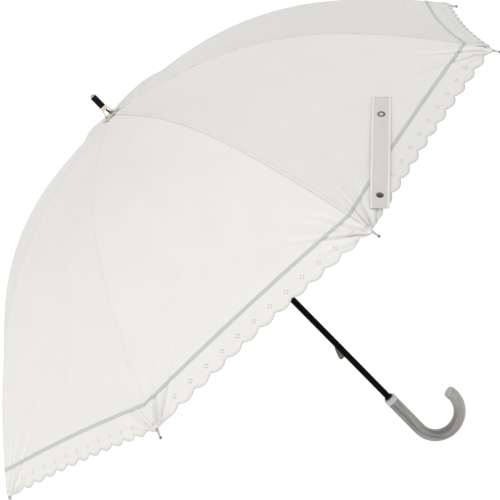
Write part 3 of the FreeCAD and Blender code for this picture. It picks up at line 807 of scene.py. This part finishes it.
box_near, box_far, stitch_side, end_stitch_side = 2.5, 7.5, 8.0, 6.5
end_run = strap_length / millimetre - 3
strap_stitching = [strap_run((run, -side), (run, side))
                   for run, side in ((box_near, stitch_side), (box_far, stitch_side),
                                     (end_run, end_stitch_side))]
strap_stitching += [strap_run((box_near, side), (end_run - 3, side))
                    for side in (-stitch_side, stitch_side)]
strap_stitches = sew("strap_stitches", on_strap, strap_stitching, 2.6, 0.22, 0.4)
strap_stitches.data.materials.append(strap_thread.material)
gather(strap_stitches, strap_gore)

# ---- Strap snaps ----
# Two pressed metal snaps riveted through the strap: a socket near the sewn end, a stud near the
# free one.
socket_inset, stud_inset = 28.1 * millimetre, 20.5 * millimetre
snap_sides = 28
snap_foot = strap_thickness * 0.75 * millimetre
# each profile: radius and height in millimetres, from the foot to the middle
socket_profile = ((4.4, 0), (4.5, 0.45), (4.25, 0.95), (3.7, 1.2), (3.1, 1.15), (2.7, 0.85),
                  (2.5, 0.45), (1.7, 0.4), (1.5, 0.75), (0.9, 0.95), (0.3, 1.0))
stud_profile = ((4.4, 0), (4.5, 0.4), (4.1, 0.8), (3.2, 0.95), (2.5, 0.8), (1.9, 0.9), (1.75, 1.7),
                (1.95, 2.1), (1.6, 2.5), (0.9, 2.7), (0.3, 2.72))
pale_middle = 2.0 * millimetre


def turn_up(name, profile, sides):
    """A turned piece: a disc drawn up ring by ring, from (radius, height) pairs in millimetres."""
    bpy.ops.object.select_all(action="DESELECT")
    radius, level = profile[0]
    bpy.ops.mesh.primitive_circle_add(vertices=sides, radius=radius * millimetre, fill_type="NGON",
                                      location=(0, 0, level * millimetre))
    piece = bpy.context.object
    piece.name = piece.data.name = name
    bpy.ops.object.transform_apply(location=True, rotation=False, scale=False)
    bpy.ops.object.mode_set(mode="EDIT")
    bpy.ops.mesh.select_all(action="SELECT")
    for next_radius, next_level in profile[1:]:
        rise = (0, 0, (next_level - level) * millimetre)
        bpy.ops.mesh.extrude_region_move(TRANSFORM_OT_translate={"value": rise})
        share = next_radius / radius
        bpy.ops.transform.resize(value=(share, share, 1),
                                 center_override=(0, 0, next_level * millimetre))
        radius, level = next_radius, next_level
    bpy.ops.mesh.select_all(action="SELECT")
    bpy.ops.mesh.normals_make_consistent(inside=False)
    bpy.ops.object.mode_set(mode="OBJECT")
    bpy.ops.object.shade_smooth_by_angle(angle=math.radians(50))
    return piece


def stand(piece, foot, up):
    """Move a piece made at the origin so that it stands on `foot` and points `up`."""
    turn = up.normalized().to_track_quat("Z", "Y").to_matrix().to_4x4()
    piece.data.transform(Matrix.Translation(foot) @ turn)


snap_metal = Finish("snap_metal", Metallic=1.0, Roughness=0.32)
snap_tone = snap_metal.mix(snap_metal.noise(300), (0.10, 0.092, 0.085), (0.19, 0.175, 0.165))
snap_metal.set("Base Color", snap_tone)
snap_pale = Finish("snap_middle", Metallic=1.0, Roughness=0.3)
pale_tone = snap_pale.mix(snap_pale.noise(400), (0.62, 0.61, 0.60), (0.75, 0.745, 0.73))
snap_pale.set("Base Color", pale_tone)
for name, profile, run in (("snap_socket", socket_profile, socket_inset),
                           ("snap_stud", stud_profile, strap_length - stud_inset)):
    snap = turn_up(name, profile, snap_sides)
    snap.data.materials.append(snap_metal.material)
    snap.data.materials.append(snap_pale.material)
    if profile is socket_profile:
        for face in snap.data.polygons:
            face.material_index = int(face.center.xy.length < pale_middle)
    foot = on_strap_path(run, 0, strap_wave(run) + snap_foot)
    up = on_strap_path(run, 0, 1) - on_strap_path(run, 0, 0)
    stand(snap, foot, up)
    gather(snap, strap_gore, place_across(strap_gore, foot))
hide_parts("strap_snaps")

# ---- Rosette ----
# A round of the canopy's cloth over the peak, hemmed, lifted and rippled, and clamped by the crown
# cap. Its sizes are in millimetres.
rosette_radius = 12.8
rosette_hole = 3.4
rosette_sectors = 96
# each ring: share of the way out, height above the peak in millimetres and size of the ripple
rosette_rings = ((0.0, 1.1, 0), (0.3, 1.12, 0), (0.5, 1.1, 0.05), (0.65, 1.12, 0.12),
                 (0.8, 1.15, 0.2), (0.9, 1.22, 0.26), (0.94, 1.38, 0.28), (0.975, 1.42, 0.28),
                 (1.0, 1.2, 0.28), (1.0, 0.85, 0.28), (0.975, 0.7, 0.28), (0.9, 0.7, 0.26),
                 (0.8, 0.72, 0.2), (0.65, 0.75, 0.12), (0.3, 0.75, 0), (0.0, 0.75, 0))
points, uvs = [], []
for share, rise, ripple in rosette_rings:
    for sector in range(rosette_sectors):
        angle = math.tau * sector / rosette_sectors
        wave = math.sin(7 * angle) + 0.5 * math.sin(11 * angle + 1.1) + 0.3 * math.sin(3 * angle)
        level = rise + 0.55 * ripple * wave
        radius = rosette_hole + (rosette_radius - rosette_hole) * share
        radius += 0.3 * ripple * math.cos(5 * angle)
        place = Vector((radius * math.cos(angle), radius * math.sin(angle), level))
        points.append(peak + place * millimetre)
        uvs.append((radius, angle * rosette_radius))
ring_count = len(rosette_rings)
faces = [(r * rosette_sectors + s, r * rosette_sectors + (s + 1) % rosette_sectors,
          (r + 1) % ring_count * rosette_sectors + (s + 1) % rosette_sectors,
          (r + 1) % ring_count * rosette_sectors + s)
         for r in range(ring_count) for s in range(rosette_sectors)]
rosette = make_mesh("rosette_cloth", points, [tuple(reversed(face)) for face in faces], uvs)
rosette_finish = Finish("rosette_cotton", Roughness=0.8, Sheen_Weight=0.12, Specular_IOR_Level=0.3)
rosette_warp = (rosette_finish.surface("X") * (math.tau / thread_pitch)).sine()
rosette_weft = (rosette_finish.surface("Y") * (math.tau / thread_pitch)).sine()
rosette_slub = rosette_finish.noise(400)
rosette_finish.set("Base Color", rosette_finish.mix(rosette_slub, (0.83, 0.82, 0.79), (0.90, 0.895, 0.87)))
rosette_finish.bump(rosette_warp * rosette_weft, 0.0001)
rosette.data.materials.append(rosette_finish.material)
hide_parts("rosette")
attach(rosette, "shaft")


# ---- Crown cap ----
# A spun and pierced clamp of thin brass with pale gold plate, held down by the ferrule.
def dress(finish, *nodes):
    """Give CAD nodes their finish."""
    for node in nodes:
        for material_slot in bpy.data.objects[node].material_slots:
            material_slot.material = finish.material


gold = Finish("pale_gold_plate", Metallic=1.0)
gold_wear = gold.noise(260, 4)
gold.set("Base Color", gold.mix(gold_wear, (0.62, 0.53, 0.40), (0.80, 0.72, 0.60)))
gold.set("Roughness", gold_wear * 0.2 + 0.16)
gold.bump(gold.noise(90, 2), 0.0002, 0.4)
dress(gold, "crown_cap")


# ---- Ferrule ----
# A short black moulded tube over a screw, with a small bright stud let into its end.
def grained(name, scale, detail, tones, roughness, depth=0.0, drag=None, **constants):
    """A finish whose tone, roughness and relief follow one grain, which `drag` draws out."""
    finish = Finish(name, **constants)
    grain = finish.noise(scale, detail, finish.stretched(drag) if drag else None)
    finish.set("Base Color", finish.mix(grain, *tones))
    finish.set("Roughness", grain * roughness[1] + roughness[0])
    if depth:
        finish.bump(grain, depth)
    return finish


ferrule_black = grained("ferrule_black", 500, 4, ((0.003, 0.003, 0.005), (0.009, 0.009, 0.013)),
                        (0.35, 0.2), 0.00005, Specular_IOR_Level=0.06)
dress(ferrule_black, "ferrule")
bright_steel = grained("bright_steel", 60, 3, ((0.33, 0.33, 0.345), (0.50, 0.50, 0.51)),
                       (0.28, 0.15), 0.00004, (1, 1, 40), Metallic=1.0)
dress(bright_steel, "ferrule_tip", "notch_wire", "runner_wire", "notch_pin", "stop_pin")

# ---- Shaft ----
# A steel tube painted satin black, slightly polished by the runner's travel.
black_paint = Finish("black_paint", Specular_IOR_Level=0.03)
paint_drag = black_paint.noise(30, 3, black_paint.stretched((14, 14, 0.5)))
black_paint.set("Base Color", black_paint.mix(paint_drag, (0.0015, 0.0015, 0.001), (0.004, 0.004, 0.003)))
black_paint.set("Roughness", paint_drag * 0.2 + 0.3)
black_paint.bump(black_paint.noise(900), 0.00003)
dress(black_paint, "shaft")

# ---- Notch and runner ----
# Both are moulded in black nylon with slots for the ribs and stretchers; their wires hold them in.
nylon = Finish("black_nylon", Specular_IOR_Level=0.3)
nylon_grain = nylon.noise(1200, 2)
nylon.set("Base Color", nylon.mix(nylon.noise(90), (0.012, 0.012, 0.012), (0.026, 0.026, 0.025)))
nylon.set("Roughness", nylon_grain * 0.2 + 0.45)
nylon.bump(nylon_grain, 0.00005)
dress(nylon, "notch", "runner", "peak_washer")

# ---- Catches ----
# Half-moon leaves of dark bronzed steel, pressed in with a thumb.
bronzed_steel = grained("bronzed_steel", 350, 4, ((0.085, 0.08, 0.06), (0.16, 0.15, 0.12)),
                        (0.33, 0.25), 0.00005, Metallic=0.7)
dress(bronzed_steel, "top_catch", "lower_catch")

# ---- Ribs and stretchers ----
# Channels rolled from steel strip and lacquered dark grey, riveted through pressed brackets.
lacquer = grained("grey_lacquer", 420, 4, ((0.045, 0.045, 0.048), (0.085, 0.085, 0.09)),
                  (0.3, 0.25), 0.00004, Metallic=0.5)
for number in range(1, gore_count + 1):
    dress(lacquer, "rib_%d" % number, "rib_bracket_%d" % number, "stretcher_%d" % number)

# ---- Rib ends ----
# Turned metal ends pushed over the ribs; a waist and a ball keep the cloth's corner thread on.
rib_depth = 2.8 * millimetre
channel_inset = 12 * millimetre
# radius and distance from the end of the channel, in millimetres
rib_end_profile = ((1.35, 6), (1.6, 6.3), (1.6, 11.4), (1.15, 12.0), (1.1, 13.0), (1.2, 13.5),
                   (1.0, 15.4), (0.9, 16.0), (1.25, 16.4), (1.6, 17.0), (1.7, 17.7), (1.55, 18.5),
                   (1.1, 19.1), (0.4, 19.45))
ball_start = 16.1 * millimetre
grey_metal = grained("grey_metal", 500, 3, ((0.42, 0.42, 0.42), (0.58, 0.58, 0.58)), (0.3, 0.2),
                     Metallic=0.9)
dark_metal = grained("dark_metal", 500, 3, ((0.16, 0.16, 0.16), (0.26, 0.26, 0.26)), (0.3, 0.2),
                     Metallic=0.9)


def rib_frame(number, along):
    """Point on a rib's seam, with the directions out from the shaft, up from the rib and along it."""
    radius, height, slope = seam(along)
    outward = rib_direction(number)
    above = outward * math.sin(slope) + Vector((0, 0, math.cos(slope)))
    forward = outward * math.cos(slope) - Vector((0, 0, math.sin(slope)))
    return outward * radius + Vector((0, 0, height)), outward, above, forward


rib_end = turn_up("rib_end_1", rib_end_profile, 20)
rib_end.data.materials.append(grey_metal.material)
rib_end.data.materials.append(dark_metal.material)
for face in rib_end.data.polygons:
    face.material_index = int(face.center.z > ball_start)
rib_ends = [rib_end]
for number in range(2, gore_count + 1):
    rib_ends.append(rib_end.copy())
    rib_ends[-1].data = rib_end.data.copy()
    rib_ends[-1].name = "rib_end_%d" % number
    bpy.context.scene.collection.objects.link(rib_ends[-1])
for number, piece in enumerate(rib_ends, 1):
    corner, outward, above, forward = rib_frame(number, cloth_length - channel_inset)
    stand(piece, corner - above * rib_depth, forward)
    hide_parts("rib_tip_%d" % number)
    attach(piece, "rib_%d" % number)

# ---- Rib ties ----
# White thread, wound three times round each rib and through the seam above it, at three places.
# Each turn leans and stands a little higher than the one before.
tie_places = (112 * millimetre, 262 * millimetre, 398 * millimetre)
tie_depth = 2.6 * millimetre
tie_radius, tie_thread = 2.3 * millimetre, 0.26 * millimetre
tie_pitch, tie_lean, tie_swell = 0.6 * millimetre, 0.12, 0.03
tie_finish = mottled("tie_thread", 0.7, 900, (0.62, 0.61, 0.58), (0.78, 0.77, 0.74))
for number in range(1, gore_count + 1):
    bpy.ops.object.select_all(action="DESELECT")
    loops = []
    for place in tie_places:
        top, outward, above, forward = rib_frame(number, place)
        middle = top - above * tie_depth
        axes = Matrix((outward.cross(Vector((0, 0, 1))), above, forward)).transposed().to_4x4()
        for turn in (-1, 0, 1):
            bpy.ops.mesh.primitive_torus_add(major_segments=20, minor_segments=6,
                                             major_radius=tie_radius, minor_radius=tie_thread)
            loop = bpy.context.object
            loop.data.transform(Matrix.Diagonal((1, 1 + tie_swell * (1 + turn), 1, 1)))
            lean = Matrix.Rotation(tie_lean * turn, 4, "X")
            moved = Matrix.Translation(middle + forward * turn * tie_pitch)
            loop.data.transform(moved @ axes @ lean)
            loops.append(loop)
    for loop in loops:
        loop.select_set(True)
    bpy.context.view_layer.objects.active = loops[0]
    bpy.ops.object.join()
    tie = bpy.context.object
    tie.name = "rib_ties_%d" % number
    bpy.ops.object.mode_set(mode="EDIT")
    bpy.ops.mesh.select_all(action="SELECT")
    bpy.ops.mesh.normals_make_consistent(inside=False)
    bpy.ops.object.mode_set(mode="OBJECT")
    bpy.ops.object.shade_smooth()
    tie.data.materials.append(tie_finish.material)
    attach(tie, "rib_%d" % number)

# ---- Handle ----
# One piece of pearly grey resin: a straight grip bent round into a hook while warm, then polished.
# The pearl lies in soft streaks that follow the bend. Over the whole length, painted light and shade make
# the grip darker by the collar and the hook lighter toward its end.
handle_sides, hook_steps = 56, 96
handle_low, handle_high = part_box("handle")
handle_radius = -handle_low.x
hook_radius = (handle_high.x - handle_radius) / 2
hook_centre = Vector((hook_radius, 0, handle_low.z + hook_radius + handle_radius))
hook_sweep = math.radians(193)
grip_length = handle_high.z - hook_centre.z
shaft_hole = 4.05 * millimetre
mouth_round = 0.6 * millimetre
socket_depth = 8 * millimetre

bpy.ops.object.select_all(action="DESELECT")
bpy.ops.mesh.primitive_circle_add(vertices=handle_sides, radius=handle_radius,
                                  location=(0, 0, hook_centre.z))
handle = bpy.context.object
handle.name = handle.data.name = "handle_hook"
bpy.ops.object.transform_apply(location=True, rotation=False, scale=False)
bpy.ops.object.mode_set(mode="EDIT")
bpy.ops.mesh.select_all(action="SELECT")
bpy.ops.mesh.extrude_region_move(TRANSFORM_OT_translate={"value": (0, 0, grip_length - mouth_round)})
for rise, radius in ((mouth_round, handle_radius - mouth_round), (0, shaft_hole),
                     (-socket_depth, shaft_hole)):
    bpy.ops.mesh.extrude_region_move(TRANSFORM_OT_translate={"value": (0, 0, rise)})
    bpy.ops.object.mode_set(mode="OBJECT")
    for vertex in handle.data.vertices:
        if vertex.select:
            vertex.co.xy = vertex.co.xy.normalized() * radius
    bpy.ops.object.mode_set(mode="EDIT")
bpy.ops.mesh.select_all(action="DESELECT")
bpy.ops.object.mode_set(mode="OBJECT")
for vertex in handle.data.vertices:
    vertex.select = abs(vertex.co.z - hook_centre.z) < 1e-6
for edge in handle.data.edges:
    edge.select = all(handle.data.vertices[v].select for v in edge.vertices)
bpy.ops.object.mode_set(mode="EDIT")
bpy.ops.mesh.spin(steps=hook_steps, angle=hook_sweep, center=hook_centre, axis=(0, 1, 0))
bpy.ops.mesh.edge_face_add()
bpy.ops.mesh.select_all(action="SELECT")
bpy.ops.mesh.remove_doubles(threshold=1e-6)
bpy.ops.mesh.normals_make_consistent(inside=False)
bpy.ops.object.mode_set(mode="OBJECT")
bpy.ops.object.shade_smooth_by_angle(angle=math.radians(40))

# each point's place as if the hook were straight, so that the streaks and the painted light can follow the
# bend
straight = handle.data.attributes.new("straight", "FLOAT_VECTOR", "POINT")
for vertex, value in zip(handle.data.vertices, straight.data):
    point = vertex.co
    if point.z >= hook_centre.z and point.x < hook_radius:
        value.vector = (point.x, point.y, point.z - hook_centre.z)
    else:
        spoke = Vector((point.x - hook_centre.x, 0, point.z - hook_centre.z))
        swept = math.atan2(-spoke.z, -spoke.x) % math.tau
        value.vector = (hook_radius - spoke.length, point.y, -swept * hook_radius)

resin = Finish("pearly_resin", Specular_IOR_Level=0.45, Coat_Weight=0.5, Coat_Roughness=0.16)
along_handle = resin.node("Attribute", {"attribute_name": "straight"}, output="Vector")
pearl = resin.noise(60, 3, resin.stretched((2.2, 2.2, 0.28), along_handle))
pearl_fine = resin.noise(420, 3, resin.stretched((1, 1, 0.12), along_handle))
pearl_split = resin.node("SeparateXYZ", inputs={"Vector": along_handle})
# painted light and shade: the tone darkens up the grip toward the collar and lightens round the hook
# toward its end
painted_light_toward_hook_end = Val(pearl_split.socket.node.outputs["Z"]) * -2.2 - 0.10
pearl_and_painted_light = (pearl - 0.5) * 2.0 + (pearl_fine - 0.5) * 0.6 + 0.5 + painted_light_toward_hook_end
resin.set("Base Color", resin.mix(pearl_and_painted_light, (0.1, 0.094, 0.087), (0.4, 0.385, 0.368)))
resin.set("Roughness", pearl_fine * 0.2 + 0.3)
handle.data.materials.append(resin.material)
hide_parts("handle")
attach(handle, "shaft")

# ---- Handle fittings ----
# A satin aluminium collar pressed over the grip, a black rubber ring above it on the shaft,
# and a paler resin button glued into the hook's end.
collar_metal = grained("satin_aluminium", 45, 3, ((0.38, 0.39, 0.40), (0.54, 0.55, 0.56)),
                       (0.33, 0.15), 0.00005, (1, 1, 30), Metallic=0.85)
dress(collar_metal, "handle_collar")
rubber = grained("black_rubber", 900, 3, ((0.006, 0.006, 0.006), (0.014, 0.014, 0.014)), (0.6, 0.2),
                 Specular_IOR_Level=0.15)
dress(rubber, "handle_seal")
button = grained("pale_button", 160, 3, ((0.36, 0.35, 0.345), (0.48, 0.47, 0.46)), (0.3, 0.15),
                 Specular_IOR_Level=0.4, Coat_Weight=0.2, Coat_Roughness=0.3)
dress(button, "handle_end_cap")
